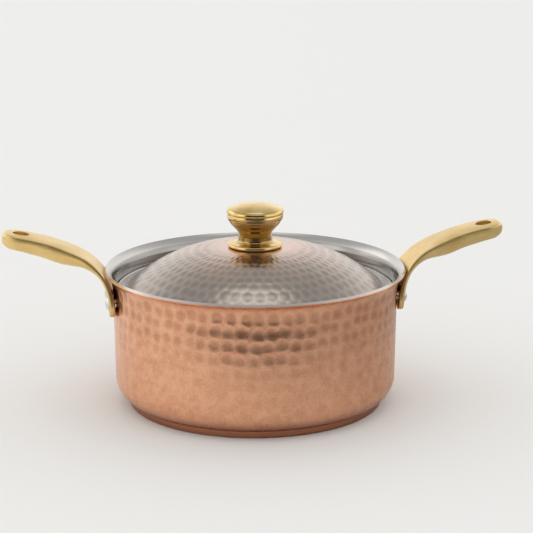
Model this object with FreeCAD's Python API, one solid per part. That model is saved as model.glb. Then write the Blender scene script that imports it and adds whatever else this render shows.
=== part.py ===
"""Two-handled hammered copper saucepan with a domed lid, built piece by piece.

Frame: millimetres, +Z up, origin on the table at the centre of the base.
The handles point along -X and +X. The lid lifts straight up along +Z.
"""
import math
import os

import FreeCAD, Part

V = FreeCAD.Vector
UP = V(0, 0, 1)

# ---------------------------------------------------------------- driving dimensions
# pan wall: three bonded layers, measured outward from the cooking surface
LINER_THICK = 0.5
CORE_THICK = 1.0
JACKET_THICK = 0.7
LINER_OUT = LINER_THICK
CORE_OUT = LINER_OUT + CORE_THICK
WALL_THICK = CORE_OUT + JACKET_THICK

# cooking surface profile: floor, corner, wall with a little draft, gentle opening, flared lip
CORNER_CENTRE = (84.0, 20.0)
CORNER_RADIUS = 14.8
WALL_TOP_RADIUS = 99.6
OPENING_Z = 78.0
OPENING_ARC = 60.0
OPENING_ANGLE = 12.0
LIP_ARC = 12.8
LIP_ANGLE = 58.0
HEM_ANGLE = 52.0

# bonded base
BASE_RADIUS = 91.6
BASE_SKIN = 0.8
BASE_EDGE_ROUND = 1.2

# handle: centre line of its top face, seen from the side
PAD_X = 102.0
PAD_BOTTOM_Z = 68.0
GRIP_ARC_CENTRE = (187.0, -2.0)
GRIP_ARC = 130.4
NECK_SLOPE = 28.0
TIP_SLOPE = 3.5

# handle section: pad, neck, grip and tip
PAD_THICK = 3.2
GRIP_THICK = 13.8
TIP_THICK = 13.2
PAD_HALF_WIDTH = 24.0
NECK_HALF_WIDTH = 16.0
GRIP_HALF_WIDTH = 13.2
PAD_CORNER = 8.0
PAD_DISH = 1.1
GRIP_CROWN = 1.2
PAD_SQUARENESS = 7.0
GRIP_SQUARENESS = 2.3
EDGE_ROUND = 1.2
TIP_LENGTH = 17.0
TIP_UNDER = 16.0
TIP_ROUND = 5.0
TIP_LEVEL = 0.4
TIP_POWER = 2.3

# lengths along the handle's centre line between which its section changes
NARROWING = (8.0, 48.0)
TAPERING = (46.0, 96.0)
THICKENING = (26.0, 66.0)
THINNING = (70.0, 100.0)
CROWNING = (8.0, 72.0)
SOFTENING = (4.0, 52.0)

# hanging hole
HOLE_FROM_TIP = 13.5
HOLE_RADIUS = 5.8
HOLE_CHAMFER = 0.7
HOLE_WALL = 8.2

# rivets
RIVET_Y = 15.0
RIVET_Z = 77.4
RIVET_SHANK = 3.0
RIVET_CLEARANCE = 0.05
RIVET_HEAD = 5.0
RIVET_HEAD_HEIGHT = 2.6
RIVET_SEAT_GAP = 0.06
SPOT_FACE_RADIUS = 5.4
RIVET_INNER_HEAD = 4.3
RIVET_INNER_HEIGHT = 1.9
RIVET_CUT = 30.0
HEAD_OFF_WALL = 0.02

# lid
LID_TOP_Z = 113.0
LID_SEAT_RADIUS = 21.0
LID_DOME_RADIUS = 91.5
LID_DOME_SPAN = 72.0
LID_DOME_DROP = 29.2
LID_DOME_POWER = 2.1
LID_BEND = 4.0
LID_SKIN_THICK = 0.6
LID_LINER_THICK = 0.6
LID_SKIN_EDGE = 90.6
LID_EDGE_RADIUS = 99.5
LID_BEAD = 0.75

# knob and its fastening
GASKET_THICK = 0.5
GASKET_RADIUS = 18.4
SCREW_RADIUS = 2.5
SCREW_TOP_Z = 126.0
KNOB_TOP_Z = 144.7
KNOB_NECK_RADIUS = 11.3
KNOB_FLANGE_RADIUS = 18.8
KNOB_BORE = 2.55
KNOB_BORE_TOP_Z = 127.5
STEM_HOLE = 2.8
WASHER_RADIUS = 9.0
WASHER_THICK = 1.0
LOCK_RADIUS = 4.6
LOCK_THICK = 1.2
LOCK_GAP = 1.2
SCREW_HEAD = 4.7
SCREW_HEAD_HEIGHT = 3.0
RECESS_WIDTH = 1.1
RECESS_LENGTH = 5.4
RECESS_DEPTH = 1.6


# ---------------------------------------------------------------- small helpers
def point(radius, height):
    """A point of a turned outline, in the XZ half plane."""
    return V(radius, 0, height)


def line(start, end):
    return Part.LineSegment(point(*start), point(*end)).toShape()


def arc(centre, radius, start, end):
    """An arc between two angles in degrees, counted from +X towards +Z."""
    def at(angle):
        turn = math.radians(angle)
        return point(centre[0] + radius * math.cos(turn), centre[1] + radius * math.sin(turn))
    return Part.Arc(at(start), at((start + end) / 2), at(end)).toShape()


def smooth_curve(points):
    """One smooth curve through outline points given as (radius, height)."""
    curve = Part.BSplineCurve()
    curve.interpolate([point(*p) for p in points])
    return curve.toShape()


def turned(edges):
    """A solid of revolution about Z from a closed outline, its edges listed in any order."""
    wire = Part.Wire(Part.__sortEdges__(edges))
    return Part.Face(wire).revolve(V(0, 0, 0), UP, 360)


def rod(start, direction, radius, length):
    return Part.makeCylinder(radius, length, start, direction)


def ends(edge):
    """First and last point of an outline edge as (radius, height)."""
    first = edge.valueAt(edge.FirstParameter)
    last = edge.valueAt(edge.LastParameter)
    return (first.x, first.z), (last.x, last.z)


# ---------------------------------------------------------------- pan wall
def opening_centre():
    return (WALL_TOP_RADIUS + OPENING_ARC, OPENING_Z)


def lip_centre():
    """The lip's arc is tangent to the opening's arc where it begins."""
    turn = math.radians(OPENING_ANGLE)
    reach = OPENING_ARC - LIP_ARC
    cx, cz = opening_centre()
    return (cx - reach * math.cos(turn), cz + reach * math.sin(turn))


def lip_arc(outward, start_angle, end_angle):
    return arc(lip_centre(), LIP_ARC - outward, 180 - start_angle, 180 - end_angle)


def wall_path(outward, end_angle=LIP_ANGLE):
    """Edges from the axis to the lip, a distance outward from the cooking surface."""
    corner_x, corner_z = CORNER_CENTRE
    radius = CORNER_RADIUS + outward
    floor_z = corner_z - radius
    return [
        line((0, floor_z), (corner_x, floor_z)),
        arc(CORNER_CENTRE, radius, 270, 360),
        line((corner_x + radius, corner_z), (WALL_TOP_RADIUS + outward, OPENING_Z)),
        arc(opening_centre(), OPENING_ARC - outward, 180, 180 - OPENING_ANGLE),
        lip_arc(outward, OPENING_ANGLE, end_angle),
    ]


def wall_layer(inner, outer, end_angle=LIP_ANGLE):
    """One layer of the pan between two distances outward from the cooking surface."""
    inside = wall_path(inner, end_angle)
    outside = wall_path(outer, end_angle)
    lip = line(ends(inside[-1])[1], ends(outside[-1])[1])
    axis = line(ends(inside[0])[0], ends(outside[0])[0])
    return turned(inside + outside + [lip, axis])


def rivet_holes(side):
    """Bores for the two rivets of one handle, right through the wall and the pad."""
    bores = []
    for across in (-1, 1):
        start = V(side * (PAD_X - RIVET_CUT / 2), across * RIVET_Y, RIVET_Z)
        bores.append(rod(start, V(side, 0, 0), RIVET_SHANK + RIVET_CLEARANCE, RIVET_CUT))
    return bores


def steel_liner(bores):
    """Cooking surface, with its edge turned down over the end of the core."""
    sheet = wall_layer(0, LINER_OUT)
    near = lip_arc(LINER_OUT, HEM_ANGLE, LIP_ANGLE)
    far = lip_arc(CORE_OUT, HEM_ANGLE, LIP_ANGLE)
    start = line(ends(near)[0], ends(far)[0])
    finish = line(ends(near)[1], ends(far)[1])
    return sheet.fuse(turned([near, far, start, finish])).removeSplitter().cut(bores)


def aluminium_core(bores):
    return wall_layer(LINER_OUT, CORE_OUT, HEM_ANGLE).cut(bores)


def copper_jacket(bores):
    return wall_layer(CORE_OUT, WALL_THICK).cut(bores)


# ---------------------------------------------------------------- base
def under_corner(radius):
    """Height of the pan's rounded underside at a radius beyond the flat."""
    sphere = CORNER_RADIUS + WALL_THICK
    return CORNER_CENTRE[1] - math.sqrt(sphere ** 2 - (radius - CORNER_CENTRE[0]) ** 2)


def under_arc(start_radius, end_radius):
    """The stretch of the pan's rounded underside between two radii."""
    sphere = CORNER_RADIUS + WALL_THICK
    angles = []
    for radius in (start_radius, end_radius):
        angles.append(360 - math.degrees(math.acos((radius - CORNER_CENTRE[0]) / sphere)))
    return arc(CORNER_CENTRE, sphere, *angles)


def heat_disc():
    """Aluminium plate bonded under the pan. Its rim follows the pan's rounded corner."""
    rim = BASE_RADIUS - BASE_SKIN
    flat = CORNER_CENTRE[0]
    top = CORNER_CENTRE[1] - CORNER_RADIUS - WALL_THICK
    return turned([
        line((0, BASE_SKIN), (rim, BASE_SKIN)),
        line((rim, BASE_SKIN), (rim, under_corner(rim))),
        under_arc(flat, rim),
        line((flat, top), (0, top)),
        line((0, top), (0, BASE_SKIN)),
    ])


def base_cap():
    """Shallow copper cup that closes the base and stands on the hob."""
    rim = BASE_RADIUS - BASE_SKIN
    foot = BASE_RADIUS - BASE_EDGE_ROUND
    return turned([
        line((0, 0), (foot, 0)),
        arc((foot, BASE_EDGE_ROUND), BASE_EDGE_ROUND, 270, 360),
        line((BASE_RADIUS, BASE_EDGE_ROUND), (BASE_RADIUS, under_corner(BASE_RADIUS))),
        under_arc(rim, BASE_RADIUS),
        line((rim, under_corner(rim)), (rim, BASE_SKIN)),
        line((rim, BASE_SKIN), (0, BASE_SKIN)),
        line((0, BASE_SKIN), (0, 0)),
    ])


# ---------------------------------------------------------------- handles
def ease(value, start, end):
    """0 before start, 1 after end, and a smooth step between."""
    t = min(max((value - start) / (end - start), 0.0), 1.0)
    return t * t * (3 - 2 * t)


def neck_geometry():
    """Radius of the neck's arc, and the height where the pad's flat back ends."""
    turn = math.radians(NECK_SLOPE)
    join_x = GRIP_ARC_CENTRE[0] - GRIP_ARC * math.sin(turn)
    join_z = GRIP_ARC_CENTRE[1] + GRIP_ARC * math.cos(turn)
    radius = (join_x - PAD_X) / (1 - math.sin(turn))
    return radius, join_z - radius * math.cos(turn)


def handle_lengths():
    """Length along the centre line at the end of the pad, the neck and the grip."""
    radius, pad_top = neck_geometry()
    pad = pad_top - PAD_BOTTOM_Z
    neck = pad + radius * math.radians(90 - NECK_SLOPE)
    grip = neck + GRIP_ARC * math.radians(NECK_SLOPE - TIP_SLOPE)
    return pad, neck, grip


def handle_line(along):
    """Place (x, z) and slope in radians of the top face's centre line."""
    radius, pad_top = neck_geometry()
    pad, neck, _ = handle_lengths()
    if along <= pad:
        return PAD_X, PAD_BOTTOM_Z + along, math.pi / 2
    if along <= neck:
        slope = math.pi / 2 - (along - pad) / radius
        x = PAD_X + radius * (1 - math.sin(slope))
        return x, pad_top + radius * math.cos(slope), slope
    slope = math.radians(NECK_SLOPE) - (along - neck) / GRIP_ARC
    x = GRIP_ARC_CENTRE[0] - GRIP_ARC * math.sin(slope)
    return x, GRIP_ARC_CENTRE[1] + GRIP_ARC * math.cos(slope), slope


def handle_section(along):
    """Half width, thickness, crown, squareness of the underside, and fall of the top face."""
    width = PAD_HALF_WIDTH
    width += (NECK_HALF_WIDTH - PAD_HALF_WIDTH) * ease(along, *NARROWING)
    width += (GRIP_HALF_WIDTH - NECK_HALF_WIDTH) * ease(along, *TAPERING)
    if along < PAD_CORNER:
        width -= PAD_CORNER - math.sqrt(PAD_CORNER ** 2 - (PAD_CORNER - along) ** 2)
    thick = PAD_THICK + (GRIP_THICK - PAD_THICK) * ease(along, *THICKENING)
    thick += (TIP_THICK - GRIP_THICK) * ease(along, *THINNING)
    crown = -PAD_DISH + (GRIP_CROWN + PAD_DISH) * ease(along, *CROWNING)
    power = PAD_SQUARENESS + (GRIP_SQUARENESS - PAD_SQUARENESS) * ease(along, *SOFTENING)
    nose = bulge(along, TIP_LENGTH)
    above = TIP_LEVEL * bulge(along, TIP_ROUND)
    below = (1 - TIP_LEVEL) * bulge(along, TIP_UNDER)
    fall = thick * (TIP_LEVEL - above)
    return width * nose, thick * (above + below), crown * nose, power, fall


def bulge(along, length):
    """1 until the tip starts to round, a length before the end, then a quarter circle to 0."""
    past = (along - handle_lengths()[2]) / length + 1
    return (1 - max(past, 0.0) ** TIP_POWER) ** (1 / TIP_POWER)


def handle_outline(along):
    """Closed section across the handle: crowned top face, rounded edges and underside."""
    x, z, slope = handle_line(along)
    width, thick, crown, power, fall = handle_section(along)
    edge = min(EDGE_ROUND, thick / 4, width / 4)
    flat = width - edge
    shoulder = -crown * (flat / width) ** 2 - edge

    def place(across, height):
        height -= fall
        return V(x - height * math.sin(slope), across, z + height * math.cos(slope))

    corner_steps = 4
    top_steps = 6
    under_steps = 20
    right = []
    for i in range(corner_steps):
        turn = math.pi / 2 * i / corner_steps
        right.append((flat + edge * math.cos(turn), shoulder + edge * math.sin(turn)))
    top = [(-across, height) for across, height in right]
    for i in range(top_steps + 1):
        u = -1 + 2 * i / top_steps
        top.append((u * flat, -crown * (u * flat / width) ** 2))
    top += reversed(right)
    under = []
    for i in range(under_steps + 1):
        turn = math.pi * i / under_steps
        u = math.copysign(abs(math.cos(turn)) ** (2 / power), math.cos(turn))
        drop = 0 if i in (0, under_steps) else math.sin(turn) ** (2 / power)
        under.append((u * width, shoulder - (thick + shoulder) * drop))
    upper = Part.BSplineCurve()
    upper.interpolate([place(*p) for p in top])
    lower = Part.BSplineCurve()
    lower.interpolate([place(*p) for p in under])
    return Part.Wire([upper.toShape(), lower.toShape()])


def right_handle():
    """Cast brass handle: riveted pad, neck that clears the flared lip, drilled grip."""
    pad, neck, grip = handle_lengths()
    stations = [0.15, 1.2, 3.2, pad, PAD_CORNER]
    stations += [PAD_CORNER + (neck - PAD_CORNER) * i / 6 for i in range(1, 6)]
    stations += [neck + (grip - TIP_LENGTH - neck) * i / 4 for i in range(5)]
    stations += [grip - TIP_LENGTH * part for part in (0.7, 0.5, 0.36, 0.25, 0.16, 0.09, 0.04, 0.008)]
    body = Part.makeLoft([handle_outline(s) for s in stations], True, False)
    tools = rivet_holes(1) + [hanging_hole()]
    for across in (-1, 1):
        seat = V(PAD_X + PAD_THICK, across * RIVET_Y, RIVET_Z)
        tools.append(rod(seat, V(1, 0, 0), SPOT_FACE_RADIUS, RIVET_HEAD_HEIGHT * 2))
    for tool in tools:
        body = body.cut(tool)
    return body


def left_handle():
    """The same casting, turned half round the pan."""
    body = right_handle()
    body.rotate(V(0, 0, 0), UP, 180)
    return body


def hanging_hole():
    """Drilled hole square to the grip's top face, with both mouths countersunk."""
    along = handle_lengths()[2] - HOLE_FROM_TIP
    x, z, slope = handle_line(along)
    thick = handle_section(along)[1]
    out = V(-math.sin(slope), 0, math.cos(slope))
    middle = V(x, 0, z)
    reach = 6
    hole = rod(middle - out * (thick + reach), out, HOLE_RADIUS, thick + 2 * reach)
    wide = HOLE_RADIUS + HOLE_CHAMFER + reach
    top = Part.makeCone(HOLE_RADIUS, wide, HOLE_CHAMFER + reach, middle - out * HOLE_CHAMFER, out)
    low = middle - out * (HOLE_CHAMFER + HOLE_WALL)
    bottom = Part.makeCone(HOLE_RADIUS, wide, HOLE_CHAMFER + reach, low, -out)
    return hole.fuse([top, bottom])


# ---------------------------------------------------------------- rivets
def domed_head(seat, direction, radius, height):
    """A low dome standing on a flat seat."""
    sphere = (radius ** 2 + height ** 2) / (2 * height)
    ball = Part.makeSphere(sphere, seat + direction * (height - sphere))
    return ball.common(rod(seat, direction, radius * 1.01, height + 1))


def rivet(side, across, bowl):
    """Steel rivet: domed head outside, shank, and a head formed against the wall inside."""
    seat = V(side * (PAD_X + PAD_THICK + RIVET_SEAT_GAP), across * RIVET_Y, RIVET_Z)
    outward = V(side, 0, 0)
    wall = math.sqrt(WALL_TOP_RADIUS ** 2 - RIVET_Y ** 2)
    inner_seat = V(side * wall, across * RIVET_Y, RIVET_Z)
    bite = 1.0
    shank = rod(inner_seat - outward * bite, outward, RIVET_SHANK, abs(seat.x) - wall + 2 * bite)
    head = domed_head(seat, outward, RIVET_HEAD, RIVET_HEAD_HEIGHT)
    formed = domed_head(inner_seat, -outward, RIVET_INNER_HEAD, RIVET_INNER_HEIGHT)
    formed = formed.fuse(rod(inner_seat, outward, RIVET_INNER_HEAD, 2)).common(bowl)
    return shank.fuse([head, formed]).removeSplitter()


def bowl_space():
    """The space inside the pan, a hair clear of the cooking surface."""
    inside = wall_path(-HEAD_OFF_WALL)
    top = ends(inside[-1])[1]
    start = ends(inside[0])[0]
    return turned(inside + [line(top, (0, top[1])), line((0, top[1]), start)])


# ---------------------------------------------------------------- lid
def lid_curve(below):
    """Dome points and the slope angle at its foot, a distance below the lid's top skin."""
    points = []
    steps = 12
    slope = 0.0
    for i in range(steps + 1):
        radius = LID_SEAT_RADIUS + (LID_DOME_RADIUS - LID_SEAT_RADIUS) * i / steps
        part = (radius - LID_SEAT_RADIUS) / LID_DOME_SPAN
        height = LID_TOP_Z - LID_DOME_DROP * part ** LID_DOME_POWER
        rise = LID_DOME_DROP * LID_DOME_POWER / LID_DOME_SPAN * part ** (LID_DOME_POWER - 1)
        slope = math.atan(rise)
        points.append((radius - below * math.sin(slope), height - below * math.cos(slope)))
    return points, slope


def lid_edges(below):
    """Edges of a lid surface from the axis, over the dome, to the start of the brim."""
    points, slope = lid_curve(below)
    top, _ = lid_curve(0)
    centre = (top[-1][0] + LID_BEND * math.sin(slope), top[-1][1] + LID_BEND * math.cos(slope))
    bend = arc(centre, LID_BEND + below, 270 - math.degrees(slope), 270)
    return [line((0, points[0][1]), points[0]), smooth_curve(points), bend]


def lid_liner():
    """Steel underside of the lid, which runs out into the flat brim and its rolled bead."""
    upper = lid_edges(LID_SKIN_THICK)
    lower = lid_edges(LID_SKIN_THICK + LID_LINER_THICK)
    brim = LID_EDGE_RADIUS - LID_BEAD
    top_start = ends(upper[-1])[1]
    low_start = ends(lower[-1])[1]
    edges = upper + lower + [
        line(top_start, (brim, top_start[1])),
        line(low_start, (brim, low_start[1])),
        line((brim, top_start[1]), (brim, low_start[1])),
        line(ends(upper[0])[0], ends(lower[0])[0]),
    ]
    middle = (top_start[1] + low_start[1]) / 2
    bead = Part.makeTorus(brim, LID_BEAD, V(0, 0, middle), UP)
    return turned(edges).fuse(bead).cut(stem_hole())


def lid_skin():
    """Hammered outer skin over the dome, trimmed where the brim begins."""
    upper = lid_edges(0)
    lower = lid_edges(LID_SKIN_THICK)
    lip = line(ends(upper[-1])[1], ends(lower[-1])[1])
    axis = line(ends(upper[0])[0], ends(lower[0])[0])
    blank = turned(upper + lower + [lip, axis])
    trim = rod(V(0, 0, 0), UP, LID_SKIN_EDGE, LID_TOP_Z + 10)
    return blank.common(trim).cut(stem_hole())


def stem_hole():
    return rod(V(0, 0, LID_TOP_Z - 10), UP, STEM_HOLE, 20)


# ---------------------------------------------------------------- knob and fastening
def knob():
    """Turned brass knob: domed head, beaded edge, waisted neck, collar and round flange."""
    base = LID_TOP_Z + GASKET_THICK
    neck = KNOB_NECK_RADIUS
    flange = KNOB_FLANGE_RADIUS
    head = [(0, KNOB_TOP_Z), (7.0, 144.3), (13.0, 143.2), (17.6, 141.6)]
    waist = [(18.6, 132.2), (16.9, 129.4), (14.2, 126.4), (12.1, 123.6), (neck, 121.4)]
    flare = [(11.9, 118.6), (12.6, 117.2), (14.4, 116.3), (17.4, 116.0)]
    outline = [
        smooth_curve(head),
        Part.Arc(point(17.6, 141.6), point(19.7, 140.3), point(20.4, 138.2)).toShape(),
        line((20.4, 138.2), (19.8, 137.2)),
        Part.Arc(point(19.8, 137.2), point(20.0, 134.6), point(18.6, 132.2)).toShape(),
        smooth_curve(waist),
        line((neck, 121.4), (11.8, 121.1)),
        line((11.8, 121.1), (11.9, 118.6)),
        smooth_curve(flare),
        Part.Arc(point(17.4, 116.0), point(19.6, 114.9), point(flange, base)).toShape(),
        line((flange, base), (0, base)),
        line((0, base), (0, KNOB_TOP_Z)),
    ]
    bore = rod(V(0, 0, base - 1), UP, KNOB_BORE, KNOB_BORE_TOP_Z - base + 1)
    return turned(outline).cut(bore)


def ring(inner, outer, bottom, thick):
    return rod(V(0, 0, bottom), UP, outer, thick).cut(rod(V(0, 0, bottom - 1), UP, inner, thick + 2))


def knob_gasket():
    return ring(STEM_HOLE, GASKET_RADIUS, LID_TOP_Z, GASKET_THICK)


def washer_bottom():
    return LID_TOP_Z - LID_SKIN_THICK - LID_LINER_THICK - WASHER_THICK


def lid_washer():
    return ring(STEM_HOLE, WASHER_RADIUS, washer_bottom(), WASHER_THICK)


def lock_washer():
    """Spring washer, split on one side."""
    bottom = washer_bottom() - LOCK_THICK
    split = Part.makeBox(LOCK_RADIUS + 1, LOCK_GAP, LOCK_THICK + 2, V(0, -LOCK_GAP / 2, bottom - 1))
    return ring(STEM_HOLE, LOCK_RADIUS, bottom, LOCK_THICK).cut(split)


def knob_screw():
    """Machine screw up through the lid into the knob, with a cross recess in its head."""
    seat = washer_bottom() - LOCK_THICK
    head = domed_head(V(0, 0, seat), -UP, SCREW_HEAD, SCREW_HEAD_HEIGHT)
    shank = rod(V(0, 0, seat), UP, SCREW_RADIUS, SCREW_TOP_Z - seat)
    low = seat - SCREW_HEAD_HEIGHT
    long, short = RECESS_LENGTH, RECESS_WIDTH
    slots = []
    for size_x, size_y in ((long, short), (short, long)):
        corner = V(-size_x / 2, -size_y / 2, low - 1)
        slots.append(Part.makeBox(size_x, size_y, RECESS_DEPTH + 1, corner))
    return shank.fuse(head).removeSplitter().cut(slots)


# ---------------------------------------------------------------- all pieces
def pieces():
    bores = rivet_holes(-1) + rivet_holes(1)
    bowl = bowl_space()
    made = {
        "steel_liner": steel_liner(bores),
        "aluminium_core": aluminium_core(bores),
        "copper_jacket": copper_jacket(bores),
        "heat_disc": heat_disc(),
        "base_cap": base_cap(),
        "left_handle": left_handle(),
        "right_handle": right_handle(),
        "lid_liner": lid_liner(),
        "lid_skin": lid_skin(),
        "knob": knob(),
        "knob_gasket": knob_gasket(),
        "lid_washer": lid_washer(),
        "lock_washer": lock_washer(),
        "knob_screw": knob_screw(),
    }
    for side, side_name in ((-1, "left"), (1, "right")):
        for across, place in ((-1, "front"), (1, "back")):
            made[f"{side_name}_rivet_{place}"] = rivet(side, across, bowl)
    return made


def single_solid(shape):
    """The one solid of a piece, whatever compound the last cut left around it."""
    solids = shape.Solids
    if len(solids) != 1:
        raise ValueError(f"expected one solid, found {len(solids)}")
    return solids[0]


os.makedirs("parts", exist_ok=True)
for name, shape in pieces().items():
    solid = single_solid(shape)
    if not solid.isValid():
        raise ValueError(f"{name} is not a valid solid")
    solid.exportStep(f"parts/{name}.step")
    box = solid.optimalBoundingBox(False)
    print(f"{name}: {solid.Volume:.0f} mm3, x {box.XMin:.1f}..{box.XMax:.1f}, "
          f"y {box.YMin:.1f}..{box.YMax:.1f}, z {box.ZMin:.1f}..{box.ZMax:.1f}")
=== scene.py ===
"""Two-handled hammered copper saucepan with a domed lid, dressed around its CAD frame.

Metres, +Z up, origin on the table under the middle of the base, handles along -X and +X.
Laid out as a Blender add-on and run as a script.
"""
import math

import bpy
import numpy as np
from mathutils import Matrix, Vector


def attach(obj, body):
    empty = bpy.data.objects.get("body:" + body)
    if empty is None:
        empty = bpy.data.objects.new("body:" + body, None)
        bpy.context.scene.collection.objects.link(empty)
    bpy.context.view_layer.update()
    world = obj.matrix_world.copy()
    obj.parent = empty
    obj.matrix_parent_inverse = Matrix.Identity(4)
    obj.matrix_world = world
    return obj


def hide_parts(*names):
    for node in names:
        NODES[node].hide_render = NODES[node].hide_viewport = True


bl_info = {
    "name": "Hammered copper saucepan",
    "version": (1, 0, 0),
    "blender": (4, 5, 0),
    "location": "3D View > Sidebar > Saucepan",
    "description": "Finishes a copper saucepan with lid and brass handles around its CAD frame",
    "category": "Object",
}

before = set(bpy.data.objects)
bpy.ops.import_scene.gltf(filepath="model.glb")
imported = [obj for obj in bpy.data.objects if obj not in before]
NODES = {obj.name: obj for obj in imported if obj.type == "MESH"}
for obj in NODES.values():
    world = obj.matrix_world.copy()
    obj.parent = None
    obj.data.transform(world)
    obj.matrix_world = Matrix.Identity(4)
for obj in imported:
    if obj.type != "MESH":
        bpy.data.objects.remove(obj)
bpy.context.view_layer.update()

MM = 0.001
PAN = "pan"
LID = "lid"

# pan wall, from the cooking surface outward: sheet thicknesses and the profile that all follow
LINER_THICK = 0.5 * MM
CORE_THICK = 1.0 * MM
JACKET_THICK = 0.7 * MM
WALL_THICK = LINER_THICK + CORE_THICK + JACKET_THICK
CORNER_CENTRE = np.array((84.0, 20.0)) * MM
CORNER_RADIUS = 14.8 * MM
WALL_TOP_RADIUS = 99.6 * MM
OPENING_Z = 78.0 * MM
OPENING_ARC = 60.0 * MM
OPENING_ANGLE = 12.0
LIP_ARC = 12.8 * MM
LIP_ANGLE = 58.0

# lid dome: a flat seat for the knob, then a curve that falls ever faster to the rim
LID_TOP_Z = 113.0 * MM
LID_SEAT_RADIUS = 21.0 * MM
LID_DOME_SPAN = 72.0 * MM
LID_DOME_DROP = 29.2 * MM
LID_DOME_POWER = 2.1
LID_SKIN_THICK = 0.6 * MM
LID_SKIN_EDGE = 90.6 * MM
LID_STEM_HOLE = 2.8 * MM

# hammer marks: where the middles stray to, in dent widths, and how depths differ
DENT_DRIFT = 0.12
DENT_DEPTH_SPREAD = (0.75, 1.2)
WALL_DENT_SIZE = 0.52
WALL_DENT_STAGGER = 0.13
WALL_FADE_HEIGHTS = (0.0, 25 * MM, 55 * MM, 76 * MM)
WALL_FADE_DEPTHS = (0.0, 0.12, 0.4, 1.0)
LID_DENT_SIZE = 0.55
LID_DENT_STAGGER = 0.5
LID_FADE_RADII = (21 * MM, 40 * MM, 88 * MM, 90 * MM)
LID_FADE_DEPTHS = (0, 1, 1, 0)

# grids: columns round each turned piece, distance between its rows, which of the rows on the
# wall's flat floor are kept (one in so many), and what counts as an edge
WALL_COLUMNS = 720
LID_COLUMNS = 640
ROW_STEP = 1.0 * MM
FLOOR_ROW_SHARE = 20
SHARP_EDGE = math.radians(50)

# stage: half the width of the floor and of the card, and how far the card is above the floor
FLOOR_REACH = 12
CARD_REACH = 3
CARD_LIFT = 0.2 * MM

# knob: heights between which the waist is darkened with a painted dark reflection, with a soft step
# at each end
WAIST_REFLECTION_LOW = (115.5 * MM, 119.0 * MM)
WAIST_REFLECTION_HIGH = (136.0 * MM, 129.0 * MM)

# handles: centre of the arc that the grip's top face follows
GRIP_ARC_CENTRE = np.array((187.0, -2.0)) * MM


# ---------------------------------------------------------------- surfaces from numpy grids
def outward_mesh(name, points, faces):
    """A mesh from points and four-cornered faces, turned so that its faces point outwards.

    The sign of the enclosed volume, the sum over faces of a . (b x c) / 6 for both halves of
    each face, says whether they already do. A corner given twice makes the face a triangle.
    """
    a, b, c, d = (points[faces[:, k]] for k in range(4))
    volume = (a * np.cross(b, c)).sum() + (a * np.cross(c, d)).sum()
    if volume < 0:
        faces = faces[:, ::-1]
    triangle = faces[:, 0] == faces[:, 3]
    sizes = np.where(triangle, 3, 4)
    corners = faces[np.arange(4) < sizes[:, None]]
    mesh = bpy.data.meshes.new(name)
    mesh.vertices.add(len(points))
    mesh.vertices.foreach_set("co", points.astype(np.float32).ravel())
    mesh.loops.add(len(corners))
    mesh.loops.foreach_set("vertex_index", corners.astype(np.int32))
    mesh.polygons.add(len(faces))
    mesh.polygons.foreach_set("loop_start", (np.cumsum(sizes) - sizes).astype(np.int32))
    mesh.polygons.foreach_set("use_smooth", np.ones(len(faces), bool))
    mesh.update(calc_edges=True)
    mesh.validate()
    return mesh


def turned_surface(name, profile, around, dent):
    """A closed surface of revolution about Z, with its dents' depth kept as an attribute.

    Point (i, j) is profile point i, (r, z), turned through angle 2 pi j / around. The
    point moves along the profile's own normal by dent(angle), a number for each point.
    A profile that starts and ends on the axis closes in two poles, and any other is a closed loop.
    """
    profile = np.asarray(profile, float)
    ahead, behind = np.roll(profile, -1, 0), np.roll(profile, 1, 0)
    poles = profile[0, 0] < 1e-9
    if poles:
        ahead[-1], behind[0] = profile[-1], profile[0]
    run = ahead - behind
    run /= np.linalg.norm(run, axis=1)[:, None]
    normal = np.stack((run[:, 1], -run[:, 0]), 1)
    angle = np.arange(around) * 2 * np.pi / around
    shift = dent(angle)
    radius = profile[:, :1] + shift * normal[:, :1]
    height = profile[:, 1:] + shift * normal[:, 1:]
    points = np.stack((radius * np.cos(angle), radius * np.sin(angle), height), -1)
    rows = np.arange(len(profile) * around).reshape(len(profile), around)
    if poles:
        rows[0], rows[-1] = rows[0, 0], rows[-1, 0]
        lower, upper = rows[:-1], rows[1:]
    else:
        lower, upper = rows, np.roll(rows, -1, 0)
    faces = np.stack((lower, np.roll(lower, -1, 1), np.roll(upper, -1, 1), upper), -1)
    faces = faces.reshape(-1, 4)
    pinched = faces[:, 0] == faces[:, 1]
    faces[pinched] = faces[pinched][:, [1, 2, 3, 1]]
    pinched = faces[:, 2] == faces[:, 3]
    faces[pinched] = faces[pinched][:, [0, 1, 2, 0]]
    used, numbers = np.unique(faces, return_inverse=True)
    mesh = outward_mesh(name, points.reshape(-1, 3)[used], numbers.reshape(-1, 4))
    depth = mesh.attributes.new("dent_depth", "FLOAT", "POINT")
    depth.data.foreach_set("value", -shift.ravel()[used].astype(np.float32))
    mesh.set_sharp_from_angle(angle=SHARP_EDGE)
    return mesh


def place(mesh, body, node_names, slot_name, material):
    """Puts a finished mesh in the scene, riding on its body and standing for CAD nodes."""
    piece = bpy.data.objects.new(mesh.name, mesh)
    bpy.context.scene.collection.objects.link(piece)
    mesh.materials.append(material)
    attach(piece, body)
    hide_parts(*node_names)
    return piece


def finish_node(node_name, material):
    """Gives a CAD node that stays in view its finish."""
    NODES[node_name].data.materials.clear()
    NODES[node_name].data.materials.append(material)


def arc_points(centre, radius, start, end, count):
    """Points on an arc between two angles in degrees, counted from +r towards +z."""
    turn = np.radians(np.linspace(start, end, count))
    return centre + radius * np.stack((np.cos(turn), np.sin(turn)), 1)


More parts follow.
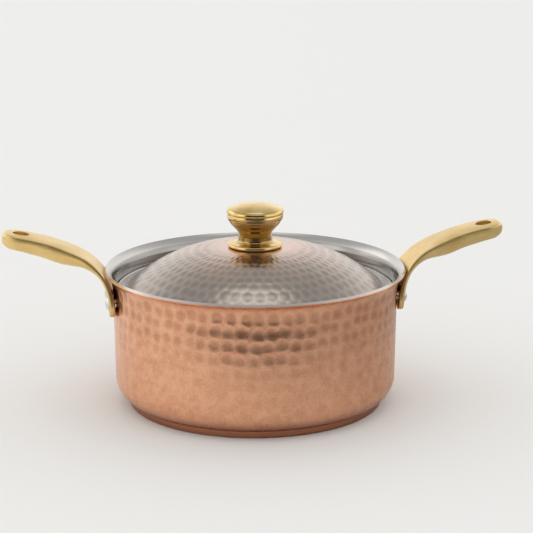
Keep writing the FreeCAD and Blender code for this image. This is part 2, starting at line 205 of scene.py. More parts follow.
def resampled(points, spacing):
    """The same outline with its points an even distance apart."""
    steps = np.linalg.norm(np.diff(points, axis=0), axis=1)
    length = np.concatenate(((0.0,), np.cumsum(steps)))
    even = np.linspace(0, length[-1], int(round(length[-1] / spacing)) + 1)
    return np.stack([np.interp(even, length, points[:, k]) for k in range(2)], 1)


def wall_outline(outward, fine):
    """Profile of one sheet face, a distance outward from the cooking surface, axis to lip.

    Flat floor, corner arc, straight wall with a little draft, the arc of the gentle opening
    and the tangent arc of the lip. fine is the count of points on each arc.
    """
    opening_centre = np.array((WALL_TOP_RADIUS + OPENING_ARC, OPENING_Z))
    turn = math.radians(OPENING_ANGLE)
    reach = OPENING_ARC - LIP_ARC
    lip_centre = opening_centre + reach * np.array((-math.cos(turn), math.sin(turn)))
    corner = CORNER_RADIUS + outward
    floor = np.array(((0.0, CORNER_CENTRE[1] - corner),))
    return np.concatenate((
        floor,
        arc_points(CORNER_CENTRE, corner, -90, 0, fine),
        arc_points(opening_centre, OPENING_ARC - outward, 180, 180 - OPENING_ANGLE, fine),
        arc_points(lip_centre, LIP_ARC - outward, 180 - OPENING_ANGLE, 180 - LIP_ANGLE, fine)[1:],
    ))


def lid_height(radius):
    """Height of the dome's top face: flat seat, then a fall that grows as a power of distance."""
    past = np.clip((radius - LID_SEAT_RADIUS) / LID_DOME_SPAN, 0, None)
    return LID_TOP_Z - LID_DOME_DROP * past ** LID_DOME_POWER


def hammer_marks(across, along, count, rows, size, seed):
    """Height of a hammered face: at each point the deepest of the round dents that reach it.

    across is in dent widths round the piece, a whole count of them; along is in rows. Each dent
    sits near its grid place, moved by up to DENT_DRIFT. Its height is its own depth, near 1,
    times (d^2 / size^2 - 1), where d is the distance to its middle. The flat stays at zero.
    """
    rng = np.random.default_rng(seed)
    shape = (rows + 3, count)
    moved_across = rng.uniform(-DENT_DRIFT, DENT_DRIFT, shape)
    moved_along = rng.uniform(-DENT_DRIFT, DENT_DRIFT, shape)
    own_depth = rng.uniform(*DENT_DEPTH_SPREAD, shape)
    near_row = np.clip(np.round(along).astype(int), 0, rows)
    near_column = np.round(across).astype(int)
    height = np.zeros(across.shape)
    for row_step in (-1, 0, 1):
        for column_step in (-1, 0, 1):
            row = np.clip(near_row + row_step, -1, rows + 1)
            column = near_column + column_step
            entry = (row + 1, column % count)
            over = across - column - moved_across[entry]
            up = along - row - moved_along[entry]
            dent = own_depth[entry] * ((over ** 2 + up ** 2) / size ** 2 - 1)
            inside = (row >= 0) & (row < rows)
            height = np.where(inside, np.minimum(height, dent), height)
    return height


# ---------------------------------------------------------------- shader expressions
class Wire:
    """A number that comes out of a shader node. Arithmetic on it adds Math nodes."""

    def __init__(self, nodes, socket):
        self.nodes = nodes
        self.socket = socket

    def maths(self, operation, *values):
        sockets = dict(enumerate(values))
        return self.nodes.node("ShaderNodeMath", {"operation": operation}, sockets)

    def __add__(self, other):
        return self.maths("ADD", self, other)

    __radd__ = __add__

    def __sub__(self, other):
        return self.maths("SUBTRACT", self, other)

    def __rsub__(self, other):
        return self.maths("SUBTRACT", other, self)

    def __mul__(self, other):
        return self.maths("MULTIPLY", self, other)

    __rmul__ = __mul__

    def __truediv__(self, other):
        return self.maths("DIVIDE", self, other)

    def __rtruediv__(self, other):
        return self.maths("DIVIDE", other, self)

    def __pow__(self, other):
        return self.maths("POWER", self, other)

    def __rpow__(self, other):
        return self.maths("POWER", other, self)


class Nodes:
    """A shader tree being wired, for a material or for the world."""

    def __init__(self, owner):
        owner.use_nodes = True
        self.tree = owner.node_tree
        self.tree.nodes.clear()

    def node(self, kind, settings=None, inputs=None, output=0):
        """Adds one node: its settings first, then the values or links of its sockets."""
        made = self.tree.nodes.new(kind)
        for key, value in (settings or {}).items():
            setattr(made, key, value)
        for key, value in (inputs or {}).items():
            if isinstance(value, Wire):
                self.tree.links.new(value.socket, made.inputs[key])
            else:
                made.inputs[key].default_value = value
        if not made.outputs:
            return made
        return Wire(self, made.outputs[output])

    def place(self):
        """Object coordinates."""
        return self.node("ShaderNodeTexCoord", output="Object")

    def dent_painted_shade(self, full_depth):
        """0 on the flats and 1 in the middle of a dent of full depth: the mask of the painted shade
        in the dents.
        """
        depth = self.node("ShaderNodeAttribute", {"attribute_name": "dent_depth"}, None, "Fac")
        return self.ramp(depth, 0.0, full_depth)

    def axes(self, vector):
        """The three numbers of a vector."""
        split = self.node("ShaderNodeSeparateXYZ", None, {0: vector})
        return [Wire(self, socket) for socket in split.socket.node.outputs]

    def joined(self, x, y, z):
        return self.node("ShaderNodeCombineXYZ", None, {0: x, 1: y, 2: z})

    def noise(self, vector, scale, detail=2.0, roughness=0.5):
        """Noise from 0 to 1."""
        sockets = {"Vector": vector, "Scale": scale, "Detail": detail, "Roughness": roughness}
        return self.node("ShaderNodeTexNoise", None, sockets)

    def ramp(self, value, low, high):
        """0 at low, 1 at high, and a smooth step between."""
        sockets = {"Value": value, "From Min": low, "From Max": high}
        return self.node("ShaderNodeMapRange", {"interpolation_type": "SMOOTHSTEP"}, sockets)

    def mix(self, factor, first, second):
        """A colour between two colours."""
        sockets = {"Factor": factor, 6: first, 7: second}
        return self.node("ShaderNodeMix", {"data_type": "RGBA"}, sockets, 2)

    def bump(self, height, distance, normal=None):
        """A normal from a height from 0 to 1, whose full size is distance in metres."""
        sockets = {"Height": height, "Distance": distance, "Strength": 1.0}
        if normal is not None:
            sockets["Normal"] = normal
        return self.node("ShaderNodeBump", None, sockets)


def opaque(colour):
    """A colour property as four numbers."""
    return (*colour, 1.0)


def metal(name, paint):
    """A metal finish. paint(nodes) returns the sockets of its Principled shader."""
    material = bpy.data.materials.new(name)
    nodes = Nodes(material)
    shader = nodes.node("ShaderNodeBsdfPrincipled", None, {"Metallic": 1.0, **paint(nodes)})
    nodes.node("ShaderNodeOutputMaterial", None, {"Surface": shader})
    return material


def ring_grain(nodes, fineness):
    """Noise in fine rings round Z, as a lathe or a polishing wheel leaves them."""
    x, y, z = nodes.axes(nodes.place())
    radius = (x * x + y * y) ** 0.5
    rings = nodes.joined(radius * fineness + x * 12, z * fineness + y * 12, 0.0)
    return nodes.noise(rings, 1.0, 3.0, 0.6)


def hammered_copper():
    """Softly polished copper: sandy grain and faint blotches, with painted shade darkening it in
    the dents and by the base.
    """
    look = bpy.context.scene.saucepan_jacket

    def paint(nodes):
        place = nodes.place()
        height = nodes.axes(place)[2]
        blotch = nodes.noise(place, 130.0, 4.0, 0.65)
        grain = nodes.noise(place, 1100.0, 2.0, 0.6)
        tone = nodes.ramp(blotch * 0.6 + grain * 0.4, 0.36, 0.64)
        colour = nodes.mix(tone, opaque(look.deep_copper), opaque(look.bright_copper))
        # painted shade: the copper darkens towards the base, standing in for the dark reflection of
        # the contact shadow
        base = nodes.ramp(height, 0.016, 0.006)
        colour = nodes.mix(base * 0.5, colour, opaque(look.copper_painted_shade))
        # painted shade: the dents darken towards their middles
        dent_painted_shade = nodes.dent_painted_shade(look.dent_depth)
        colour = nodes.mix(dent_painted_shade * 0.4, colour, opaque(look.copper_painted_shade))
        soft = nodes.bump(grain, look.grain_depth)
        wide = nodes.bump(nodes.noise(place, 260.0, 1.0), look.grain_depth * 2.5, soft)
        return {
            "Base Color": colour,
            "Roughness": look.roughness + blotch * 0.08,
            "Normal": wide,
        }

    return metal("hammered_copper", paint)


def spun_copper():
    """Plain spun copper of the base: fine rings and a deeper tone, darkened with painted shade."""
    look = bpy.context.scene.saucepan_jacket

    def paint(nodes):
        rings = ring_grain(nodes, 2500.0)
        # painted shade: the base cap is mixed towards the painted shade colour, standing in for the
        # dark reflection of the contact shadow
        colour = nodes.mix(rings * 0.5, opaque(look.copper_painted_shade), opaque(look.deep_copper))
        return {
            "Base Color": colour,
            "Roughness": 0.24 + rings * 0.1,
            "Normal": nodes.bump(rings, 0.000004),
        }

    return metal("spun_copper", paint)


def brushed_steel(name, roughness, depth, bowl_radius=0.0):
    """Stainless steel polished in rings, smoother inside bowl_radius and darker there with a
    painted dark reflection.
    """
    look = bpy.context.scene.saucepan_steel

    def paint(nodes):
        x, y, _ = nodes.axes(nodes.place())
        rings = ring_grain(nodes, 1800.0)
        cloud = nodes.noise(nodes.place(), 40.0)
        colour = nodes.mix(rings * 0.6 + cloud * 0.4, opaque(look.shade), opaque(look.light))
        radius = (x * x + y * y) ** 0.5
        # painted reflection: inside bowl_radius the steel is darkened, standing in for the dark
        # reflection of the lid's underside; the same mask makes the bowl smoother
        bowl_painted_shade = nodes.ramp(radius, bowl_radius + 0.4 * MM, bowl_radius - 0.4 * MM)
        return {
            "Base Color": nodes.mix(bowl_painted_shade, colour, opaque(look.bowl_painted_shade)),
            "Roughness": roughness * (1 - bowl_painted_shade * 0.5) + rings * 0.1,
            "Normal": nodes.bump(rings, depth),
        }

    return metal(name, paint)


def plain_metal(name, colour, roughness):
    """A rolled or stamped metal with a faint cloudy surface."""
    def paint(nodes):
        cloud = nodes.noise(nodes.place(), 350.0, 2.0)
        darker = tuple(0.85 * part for part in colour)
        return {
            "Base Color": nodes.mix(cloud, opaque(darker), opaque(colour)),
            "Roughness": roughness + cloud * 0.08,
            "Normal": nodes.bump(cloud, 0.000006),
        }

    return metal(name, paint)


def lid_metal():
    """Polished hammered skin: coppery round the knob, partly its own tone and partly a painted
    reflection, silver to the rim, with painted shade in the dents.
    """
    look = bpy.context.scene.saucepan_lid

    def paint(nodes):
        place = nodes.place()
        x, y, _ = nodes.axes(place)
        radius = (x * x + y * y) ** 0.5
        blotch = nodes.noise(place, 30.0, 3.0, 0.55)
        # partly painted reflection: the coppery tone round the knob stands in partly for the
        # pinkish reflection the dome shows at grazing angles
        silver = nodes.ramp(radius + blotch * 0.05, 0.04, 0.10)
        colour = nodes.mix(silver, opaque(look.copper_tint_and_reflection), opaque(look.silver))
        # painted shade: the lid's dents darken towards their middles
        dent_painted_shade = nodes.dent_painted_shade(look.dent_depth)
        colour = nodes.mix(dent_painted_shade * 0.3, colour, opaque(look.dent_painted_shade))
        grain = nodes.noise(place, 900.0, 2.0, 0.6)
        return {
            "Base Color": colour,
            "Roughness": look.roughness + blotch * 0.06,
            "Normal": nodes.bump(grain, 0.000006),
        }

    return metal("lid_hammered_skin", paint)


def satin_brass():
    """Cast brass rubbed lengthwise: hair-fine lines along the grip."""
    look = bpy.context.scene.saucepan_brass

    def paint(nodes):
        x, y, z = nodes.axes(nodes.place())
        out = x.maths("ABSOLUTE", x) - GRIP_ARC_CENTRE[0]
        up = z - GRIP_ARC_CENTRE[1]
        depth = (out * out + up * up) ** 0.5
        lines = nodes.joined(out * 60, y * 2600, depth * 2600)
        grain = nodes.noise(lines, 1.0, 3.0, 0.6)
        cloud = nodes.noise(nodes.place(), 60.0, 2.0)
        tone = grain * 0.55 + cloud * 0.45
        colour = nodes.mix(nodes.ramp(tone, 0.3, 0.7), opaque(look.deep), opaque(look.bright))
        return {
            "Base Color": colour,
            "Roughness": look.satin + grain * 0.12,
            "Normal": nodes.bump(grain, 0.000012),
        }

    return metal("satin_brass", paint)


def polished_brass():
    """Turned brass, polished, with a trace of the tool's rings and a painted dark reflection in the
    waist.
    """
    look = bpy.context.scene.saucepan_brass

    def paint(nodes):
        rings = ring_grain(nodes, 3000.0)
        cloud = nodes.noise(nodes.place(), 90.0, 2.0)
        tone = rings * 0.4 + cloud * 0.6
        colour = nodes.mix(nodes.ramp(tone, 0.3, 0.7), opaque(look.deep), opaque(look.bright))
        height = nodes.axes(nodes.place())[2]
        # painted reflection: the waist is darkened, standing in for dark reflections
        painted_waist_reflection = nodes.ramp(height, *WAIST_REFLECTION_LOW) * nodes.ramp(height, *WAIST_REFLECTION_HIGH)
        colour = nodes.mix(painted_waist_reflection * 0.75, colour, opaque(look.painted_waist_reflection))
        return {
            "Base Color": colour,
            "Roughness": look.polish + rings * 0.04,
            "Normal": nodes.bump(rings, 0.0000015),
        }

    return metal("polished_brass", paint)


def black_silicone():
    """Matt black rubber of the gasket under the knob."""
    material = bpy.data.materials.new("black_silicone")
    nodes = Nodes(material)
    speck = nodes.noise(nodes.place(), 1500.0)
    shader = nodes.node("ShaderNodeBsdfPrincipled", None, {
        "Base Color": nodes.mix(speck, (0.012, 0.012, 0.012, 1.0), (0.03, 0.03, 0.03, 1.0)),
        "Roughness": 0.55 + speck * 0.2,
    })
    nodes.node("ShaderNodeOutputMaterial", None, {"Surface": shader})
    return material


# ---------------------------------------------------------------- settings
class SaucepanJacket(bpy.types.PropertyGroup):
    """Hammered copper wall and plain copper base"""

    dents_around: bpy.props.IntProperty(
        name="Dents around", description="Hammer marks in one row", default=69, min=12)
    dent_rows: bpy.props.IntProperty(
        name="Rows of dents", description="Rows from the lip to the corner", default=9, min=1)
    row_height: bpy.props.FloatProperty(
        name="Row height", description="Distance between rows of dents",
        default=9.5 * MM, unit="LENGTH", precision=5)
    top_row: bpy.props.FloatProperty(
        name="Top row", description="Height of the first row of dents",
        default=87.3 * MM, unit="LENGTH", precision=5)
    dent_depth: bpy.props.FloatProperty(
        name="Dent depth", description="Depth of the deepest dents, in the top rows",
        default=0.42 * MM, unit="LENGTH", precision=6)
    grain_depth: bpy.props.FloatProperty(
        name="Grain depth", description="Height of the sandy grain in the copper",
        default=0.02 * MM, unit="LENGTH", precision=7)
    roughness: bpy.props.FloatProperty(
        name="Roughness", description="Dullness of the copper's polish",
        default=0.24, subtype="FACTOR", min=0, max=1)
    bright_copper: bpy.props.FloatVectorProperty(
        name="Bright copper", description="Tone where the polish is best",
        default=(0.90, 0.50, 0.315), subtype="COLOR", min=0, max=1)
    deep_copper: bpy.props.FloatVectorProperty(
        name="Deep copper", description="Tone between the polished places",
        default=(0.74, 0.365, 0.22), subtype="COLOR", min=0, max=1)
    # painted shade: this darker copper colour paints shade by the base, in the dents and on the
    # base cap
    copper_painted_shade: bpy.props.FloatVectorProperty(
        name="Tarnish", description="Darker copper by the base and in the dents",
        default=(0.30, 0.12, 0.07), subtype="COLOR", min=0, max=1)


class SaucepanSteel(bpy.types.PropertyGroup):
    """Stainless steel of the lining and the lid's underside"""

    light: bpy.props.FloatVectorProperty(
        name="Light steel", description="Lighter of the brushed tones",
        default=(0.70, 0.68, 0.66), subtype="COLOR", min=0, max=1)
    shade: bpy.props.FloatVectorProperty(
        name="Shaded steel", description="Darker of the brushed tones",
        default=(0.56, 0.54, 0.52), subtype="COLOR", min=0, max=1)
    # painted reflection: this darker steel colour stands in for the dark reflection inside the pan
    bowl_painted_shade: bpy.props.FloatVectorProperty(
        name="Bowl steel", description="Tone of the polished steel inside the pan",
        default=(0.38, 0.36, 0.34), subtype="COLOR", min=0, max=1)
    bowl_radius: bpy.props.FloatProperty(
        name="Bowl radius", description="Radius where the polished bowl meets the brushed lip",
        default=102.3 * MM, unit="LENGTH", precision=5)
    lip_roughness: bpy.props.FloatProperty(
        name="Roughness", description="Dullness of the lining",
        default=0.2, subtype="FACTOR", min=0, max=1)


class SaucepanLid(bpy.types.PropertyGroup):
    """Hammered skin of the lid"""

    ring_spacing: bpy.props.FloatProperty(
        name="Ring spacing", description="Distance between rings of dents",
        default=7.0 * MM, unit="LENGTH", precision=5)
    dents_around: bpy.props.IntProperty(
        name="Dents around", description="Hammer marks in each ring", default=60, min=8)
    dent_depth: bpy.props.FloatProperty(
        name="Dent depth", description="Depth of the lid's hammer marks",
        default=0.2 * MM, unit="LENGTH", precision=6)
    roughness: bpy.props.FloatProperty(
        name="Roughness", description="Dullness of the skin's polish",
        default=0.2, subtype="FACTOR", min=0, max=1)
    # partly painted reflection: the coppery tone round the knob is partly the skin's own tone and
    # partly a painted reflection
    copper_tint_and_reflection: bpy.props.FloatVectorProperty(
        name="Copper tint", description="Tone round the knob",
        default=(0.72, 0.52, 0.43), subtype="COLOR", min=0, max=1)
    silver: bpy.props.FloatVectorProperty(
        name="Silver", description="Tone towards the rim",
        default=(0.50, 0.44, 0.39), subtype="COLOR", min=0, max=1)
    # painted shade: darker colour painted into the lid's dents
    dent_painted_shade: bpy.props.FloatVectorProperty(
        name="Hollow", description="Darker tone that the dents tend to",
        default=(0.20, 0.16, 0.13), subtype="COLOR", min=0, max=1)


class SaucepanBrass(bpy.types.PropertyGroup):
    """Brass of the handles and the knob"""

    bright: bpy.props.FloatVectorProperty(
        name="Bright brass", description="Lighter brass",
        default=(0.93, 0.71, 0.34), subtype="COLOR", min=0, max=1)
    deep: bpy.props.FloatVectorProperty(
        name="Deep brass", description="Darker brass",
        default=(0.74, 0.50, 0.17), subtype="COLOR", min=0, max=1)
    # painted reflection: darker brass painted into the knob's waist
    painted_waist_reflection: bpy.props.FloatVectorProperty(
        name="Knob waist", description="Darker brass in the knob's waist",
        default=(0.26, 0.14, 0.03), subtype="COLOR", min=0, max=1)
    satin: bpy.props.FloatProperty(
        name="Handle roughness", description="Dullness of the rubbed handles",
        default=0.26, subtype="FACTOR", min=0, max=1)
    polish: bpy.props.FloatProperty(
        name="Knob roughness", description="Dullness of the polished knob",
        default=0.07, subtype="FACTOR", min=0, max=1)


class SaucepanStage(bpy.types.PropertyGroup):
    """Camera, floor and studio light"""

    camera_turn: bpy.props.FloatProperty(
        name="Camera turn", description="Angle of the camera round the pan",
        default=math.radians(5.5), subtype="ANGLE")
    camera_tilt: bpy.props.FloatProperty(
        name="Camera tilt", description="Angle of the camera above the table",
        default=math.radians(14.17), subtype="ANGLE")
    camera_pan: bpy.props.FloatProperty(
        name="Camera pan", description="Angle that the camera looks past the knob",
        default=math.radians(0.372), subtype="ANGLE")
    camera_distance: bpy.props.FloatProperty(
        name="Camera distance", description="From the lens to the middle of the pan",
        default=1.3, unit="LENGTH")
    aim_height: bpy.props.FloatProperty(
        name="Aim height", description="Height that the camera looks at",
        default=97.95 * MM, unit="LENGTH")
    lens: bpy.props.FloatProperty(
        name="Lens", description="Focal length of the camera in millimetres", default=122.4)
    floor: bpy.props.FloatVectorProperty(
        name="Floor", description="Colour of the pale floor",
        default=(0.86, 0.86, 0.85), subtype="COLOR", min=0, max=1)
    room: bpy.props.FloatProperty(
        name="Room light", description="Even light that falls on matt surfaces",
        default=1.0, min=0)
    wall: bpy.props.FloatProperty(
        name="Wall", description="Brightness of the studio at eye level", default=1.05, min=0)
    ceiling: bpy.props.FloatProperty(
        name="Ceiling", description="Brightness of the studio overhead", default=0.5, min=0)
    behind_camera: bpy.props.FloatProperty(
        name="Behind the camera", description="Brightness of the dark end of the studio",
        default=0.05, min=0)
    overhead: bpy.props.FloatProperty(
        name="Overhead softbox", description="Brightness of the softbox above", default=0.9, min=0)
    overhead_shift: bpy.props.FloatProperty(
        name="Overhead shift", description="How far back the softbox hangs, as part of its height",
        default=0.13)
    left_bank: bpy.props.FloatProperty(
        name="Left bank", description="Brightness of the left bank of light", default=0.5, min=0)
    right_bank: bpy.props.FloatProperty(
        name="Right bank", description="Brightness of the right bank of light", default=0.15, min=0)
    patch_distance: bpy.props.FloatProperty(
        name="Patch distance", description="From the middle of the pan to the card's dark patch",
        default=0.31, unit="LENGTH")
    patch_reach: bpy.props.FloatProperty(
        name="Patch reach", description="How far the dark patch fades out to each side",
        default=0.85, unit="LENGTH")


SETTINGS = {
    "saucepan_jacket": SaucepanJacket,
    "saucepan_steel": SaucepanSteel,
    "saucepan_lid": SaucepanLid,
    "saucepan_brass": SaucepanBrass,
    "saucepan_stage": SaucepanStage,
}


# ---------------------------------------------------------------- operators
class SAUCEPAN_OT_jacket(bpy.types.Operator):
    """Hammered copper wall, from the lip to the seam with the base"""

    bl_idname = "saucepan.jacket"
    bl_label = "Copper jacket"

    def execute(self, context):
        look = context.scene.saucepan_jacket
        outer = resampled(wall_outline(WALL_THICK, 24), ROW_STEP)
        on_floor = outer[:, 1] < outer[0, 1] + 0.001 * MM
        at_corner = on_floor & ~np.append(on_floor[1:], False)
        spaced = np.arange(len(outer)) % FLOOR_ROW_SHARE == 0
        outer = outer[~on_floor | at_corner | spaced]
        inner = wall_outline(LINER_THICK + CORE_THICK, 6)[::-1]
        outline = np.concatenate((outer, inner))
        heights = outline[:, 1].copy()
        heights[len(outer):] = 0
        pitch = look.row_height

        def dent(angle):
            """Rows of dents down the wall, deep by the lip and fading towards the corner."""
            height = heights[:, None] + 0 * angle
            along = (look.top_row - height) / pitch
            across = angle / (2 * np.pi) * look.dents_around + WALL_DENT_STAGGER * np.round(along)
            marks = hammer_marks(across, along, look.dents_around, look.dent_rows,
                                 WALL_DENT_SIZE, seed=4)
            fade = np.interp(height, WALL_FADE_HEIGHTS, WALL_FADE_DEPTHS)
            return marks * fade * look.dent_depth * (height > 0)

        mesh = turned_surface("hammered_jacket", outline, WALL_COLUMNS, dent)
        place(mesh, PAN, ["copper_jacket"], "hammered_copper", hammered_copper())
        return {"FINISHED"}


class SAUCEPAN_OT_base(bpy.types.Operator):
    """Plain copper base and the aluminium plate and core behind the copper"""

    bl_idname = "saucepan.base"
    bl_label = "Base and core"

    def execute(self, context):
        finish_node("base_cap", spun_copper())
        aluminium = plain_metal("core_aluminium", (0.77, 0.78, 0.79), 0.3)
        finish_node("aluminium_core", aluminium)
        finish_node("heat_disc", aluminium)
        return {"FINISHED"}


class SAUCEPAN_OT_lining(bpy.types.Operator):
    """Steel lining with its rolled lip"""

    bl_idname = "saucepan.lining"
    bl_label = "Steel lining"

    def execute(self, context):
        look = context.scene.saucepan_steel
        steel = brushed_steel("cooking_steel", look.lip_roughness, 0.000006, look.bowl_radius)
        finish_node("steel_liner", steel)
        return {"FINISHED"}


class SAUCEPAN_OT_handles(bpy.types.Operator):
    """Two brass handles and the four rivets that hold them"""

    bl_idname = "saucepan.handles"
    bl_label = "Handles and rivets"

    def execute(self, context):
        brass = satin_brass()
        steel = plain_metal("rivet_steel", (0.80, 0.79, 0.78), 0.16)
        for side in ("left", "right"):
            finish_node(f"{side}_handle", brass)
            for end in ("front", "back"):
                finish_node(f"{side}_rivet_{end}", steel)
        return {"FINISHED"}


class SAUCEPAN_OT_lid(bpy.types.Operator):
    """Domed lid: hammered skin over its steel liner"""

    bl_idname = "saucepan.lid"
    bl_label = "Lid"

    def execute(self, context):
        look = context.scene.saucepan_lid
        radius = np.arange(LID_STEM_HOLE, LID_SKIN_EDGE, ROW_STEP)
        radius = np.append(radius, LID_SKIN_EDGE)
        top = np.stack((radius, lid_height(radius)), 1)
        under = top[::-6] - np.array((0, LID_SKIN_THICK))
        outline = np.concatenate((top, under))
        radii = outline[:, 0].copy()
        radii[len(top):] = 0
        rings = int(LID_SKIN_EDGE / look.ring_spacing) + 1

        def dent(angle):
            """Rings of dents, shallow by the knob."""
            reach = radii[:, None] + 0 * angle
            along = reach / look.ring_spacing
            across = angle / (2 * np.pi) * look.dents_around + LID_DENT_STAGGER * np.round(along)
            marks = hammer_marks(across, along, look.dents_around, rings, LID_DENT_SIZE, seed=9)
            fade = np.interp(reach, LID_FADE_RADII, LID_FADE_DEPTHS)
            return marks * fade * look.dent_depth

        mesh = turned_surface("hammered_lid", outline, LID_COLUMNS, dent)
        place(mesh, LID, ["lid_skin"], "lid_hammered_skin", lid_metal())
        finish_node("lid_liner", brushed_steel("lid_steel", 0.16, 0.000004))
        return {"FINISHED"}


class SAUCEPAN_OT_knob(bpy.types.Operator):
    """Turned brass knob with its gasket, washers and screw"""

    bl_idname = "saucepan.knob"
    bl_label = "Knob and fastening"

    def execute(self, context):
        finish_node("knob", polished_brass())
        finish_node("knob_gasket", black_silicone())
        fastener = plain_metal("fastener_steel", (0.66, 0.66, 0.66), 0.25)
        for node_name in ("lid_washer", "lock_washer", "knob_screw"):
            finish_node(node_name, fastener)
        return {"FINISHED"}


def flat_panel(name, reach, height, turn, material):
    """A level square that reaches as far each way from the middle, turned about Z."""
    points = []
    for x, y in ((-reach, -reach), (reach, -reach), (reach, reach), (-reach, reach)):
        points.append((*turned_axes(x, y, -turn), height))
    mesh = bpy.data.meshes.new(name)
    mesh.from_pydata(points, [], [(0, 1, 2, 3)])
    mesh.materials.append(material)
    panel = bpy.data.objects.new(name, mesh)
    bpy.context.scene.collection.objects.link(panel)
    return panel


def matt_card(name, paint):
    """Matt paper or card. paint(nodes) returns its colour."""
    material = bpy.data.materials.new(name)
    nodes = Nodes(material)
    shader = nodes.node("ShaderNodeBsdfPrincipled", None, {
        "Base Color": paint(nodes),
        "Roughness": 0.9,
        "Specular IOR Level": 0.1,
    })
    nodes.node("ShaderNodeOutputMaterial", None, {"Surface": shader})
    return material


def floor_paper(look):
    """Pale paper with a faint cloud."""
    def paint(nodes):
        cloud = nodes.noise(nodes.place(), 3.0)
        darker = tuple(0.99 * part for part in look.floor)
        return nodes.mix(cloud, opaque(darker), opaque(look.floor))

    return matt_card("floor_paper", paint)


def turned_axes(x, y, turn):
    """How far to the right and how far away a place or a direction is, for a turn about Z."""
    cos_turn, sin_turn = math.cos(turn), math.sin(turn)
    return x * cos_turn - y * sin_turn, x * sin_turn + y * cos_turn


def reflector_card(look):
    """Card that only the metal sees: pale on the left, greyer on the right, with a dark patch
    in front of the pan whose edges fade out."""
    def paint(nodes):
        x, y, _ = nodes.axes(nodes.place())
        right, away = turned_axes(x, y, look.camera_turn)
        near = nodes.ramp(away, -look.patch_distance + 0.03, -look.patch_distance - 0.05)
        narrow = nodes.ramp(right.maths("ABSOLUTE", right), look.patch_reach,
                            0.12 * look.patch_reach)
        dark = near * narrow * nodes.ramp(away, -2.4, -1.2)
        side = nodes.ramp(right, -0.15, 0.35)
        cloud = nodes.noise(nodes.place(), 9.0) * 0.08
        tone = (0.90 - side * 0.42 - cloud) * (1 - dark * 0.9)
        return nodes.joined(tone, tone * 0.985, tone * 0.96)

    return matt_card("reflector_card", paint)


def studio_light(look):
    """The studio around the pan, as one brightness for every direction.

    White paper at eye level fades to a greyer ceiling with one softbox nearly overhead, a bright
    bank stands at each side, and the way towards the camera is dark. Matt surfaces are lit
    evenly from all round, which keeps the floor one tone.
    """
    world = bpy.data.worlds.new("studio")
    nodes = Nodes(world)
    x, y, z = nodes.axes(nodes.node("ShaderNodeTexCoord", output="Generated"))
    right, away = turned_axes(x, y, look.camera_turn)
    level = (x * x + y * y + 0.0001) ** 0.5
    ahead = (0 - away) / level
    wall = look.wall + nodes.ramp(z, 0.25, 0.85) * (look.ceiling - look.wall)
    sideways = right / level
    low_bank = nodes.ramp(z, 0.16, 0.24) * nodes.ramp(z, 0.60, 0.50)
    left_bank = nodes.ramp(sideways, -0.60, -0.70) * nodes.ramp(sideways, -1.0, -0.97) * low_bank
    right_bank = nodes.ramp(sideways, 0.60, 0.70) * nodes.ramp(sideways, 1.0, 0.97) * low_bank
    above = z.maths("MAXIMUM", z, 0.01)
    across = right / above
    along = away / above - look.overhead_shift
    box = nodes.ramp(across.maths("ABSOLUTE", across), 0.36, 0.16)
    box = box * nodes.ramp(along.maths("ABSOLUTE", along), 0.16, 0.07) * nodes.ramp(z, 0.5, 0.6)
    front = nodes.ramp(ahead, 0.60, 0.84) * nodes.ramp(z, 0.72, 0.50)
    shine = wall * (1 - front) + front * look.behind_camera
    shine = shine + left_bank * look.left_bank + right_bank * look.right_bank
    shine = shine + box * look.overhead
    matt = nodes.node("ShaderNodeLightPath", output="Is Diffuse Ray")
    strength = shine + matt * (look.room - shine)
    sky = nodes.node("ShaderNodeBackground", None, {
        "Color": (1.0, 0.995, 0.985, 1.0),
        "Strength": strength,
    })
    nodes.node("ShaderNodeOutputWorld", None, {"Surface": sky})
    return world


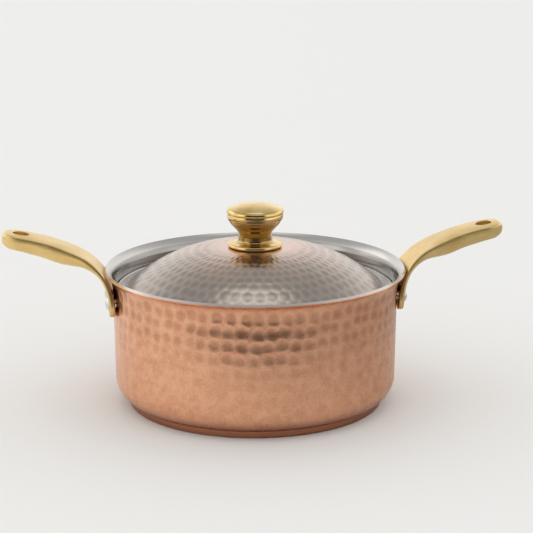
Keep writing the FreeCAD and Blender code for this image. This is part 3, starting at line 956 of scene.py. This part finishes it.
class SAUCEPAN_OT_stage(bpy.types.Operator):
    """Pale floor, soft studio light and the camera"""

    bl_idname = "saucepan.stage"
    bl_label = "Stage"

    def execute(self, context):
        look = context.scene.saucepan_stage
        scene = context.scene
        tilt, turn = look.camera_tilt, look.camera_turn
        flat_panel("floor", FLOOR_REACH, 0.0, turn, floor_paper(look))
        board = flat_panel("reflector_board", CARD_REACH, CARD_LIFT, turn, reflector_card(look))
        board.visible_camera = False
        board.visible_diffuse = False
        board.visible_shadow = False
        scene.world = studio_light(look)

        back = Vector((
            -math.sin(turn) * math.cos(tilt),
            -math.cos(turn) * math.cos(tilt),
            math.sin(tilt),
        ))
        heading = turn + look.camera_pan
        aim = Vector((
            math.sin(heading) * math.cos(tilt),
            math.cos(heading) * math.cos(tilt),
            -math.sin(tilt),
        ))
        camera = bpy.data.objects.new("camera", bpy.data.cameras.new("camera"))
        camera.data.lens = look.lens
        camera.data.sensor_width = 36
        camera.data.clip_end = 100
        camera.location = Vector((0, 0, look.aim_height)) + back * look.camera_distance
        camera.rotation_mode = "QUATERNION"
        camera.rotation_quaternion = aim.to_track_quat("-Z", "Y")
        scene.collection.objects.link(camera)
        scene.camera = camera
        scene.view_settings.view_transform = "Standard"
        return {"FINISHED"}


OPERATORS = (
    SAUCEPAN_OT_jacket,
    SAUCEPAN_OT_base,
    SAUCEPAN_OT_lining,
    SAUCEPAN_OT_handles,
    SAUCEPAN_OT_lid,
    SAUCEPAN_OT_knob,
    SAUCEPAN_OT_stage,
)


class SAUCEPAN_PT_panel(bpy.types.Panel):
    """Lists the saucepan's pieces and their settings"""

    bl_idname = "SAUCEPAN_PT_panel"
    bl_label = "Saucepan"
    bl_space_type = "VIEW_3D"
    bl_region_type = "UI"
    bl_category = "Saucepan"

    def draw(self, context):
        for operator in OPERATORS:
            self.layout.operator(operator.bl_idname)
        for name, group in SETTINGS.items():
            box = self.layout.box()
            box.label(text=group.__doc__)
            for key in group.__annotations__:
                box.prop(getattr(context.scene, name), key)


def register():
    for group in SETTINGS.values():
        bpy.utils.register_class(group)
    for name, group in SETTINGS.items():
        setattr(bpy.types.Scene, name, bpy.props.PointerProperty(type=group))
    for operator in OPERATORS:
        bpy.utils.register_class(operator)
    bpy.utils.register_class(SAUCEPAN_PT_panel)


def unregister():
    bpy.utils.unregister_class(SAUCEPAN_PT_panel)
    for operator in reversed(OPERATORS):
        bpy.utils.unregister_class(operator)
    for name, group in SETTINGS.items():
        delattr(bpy.types.Scene, name)
        bpy.utils.unregister_class(group)


def main():
    """Makes every piece in order."""
    register()
    for operator in OPERATORS:
        group, name = operator.bl_idname.split(".")
        getattr(getattr(bpy.ops, group), name)()


if __name__ == "__main__":
    main()
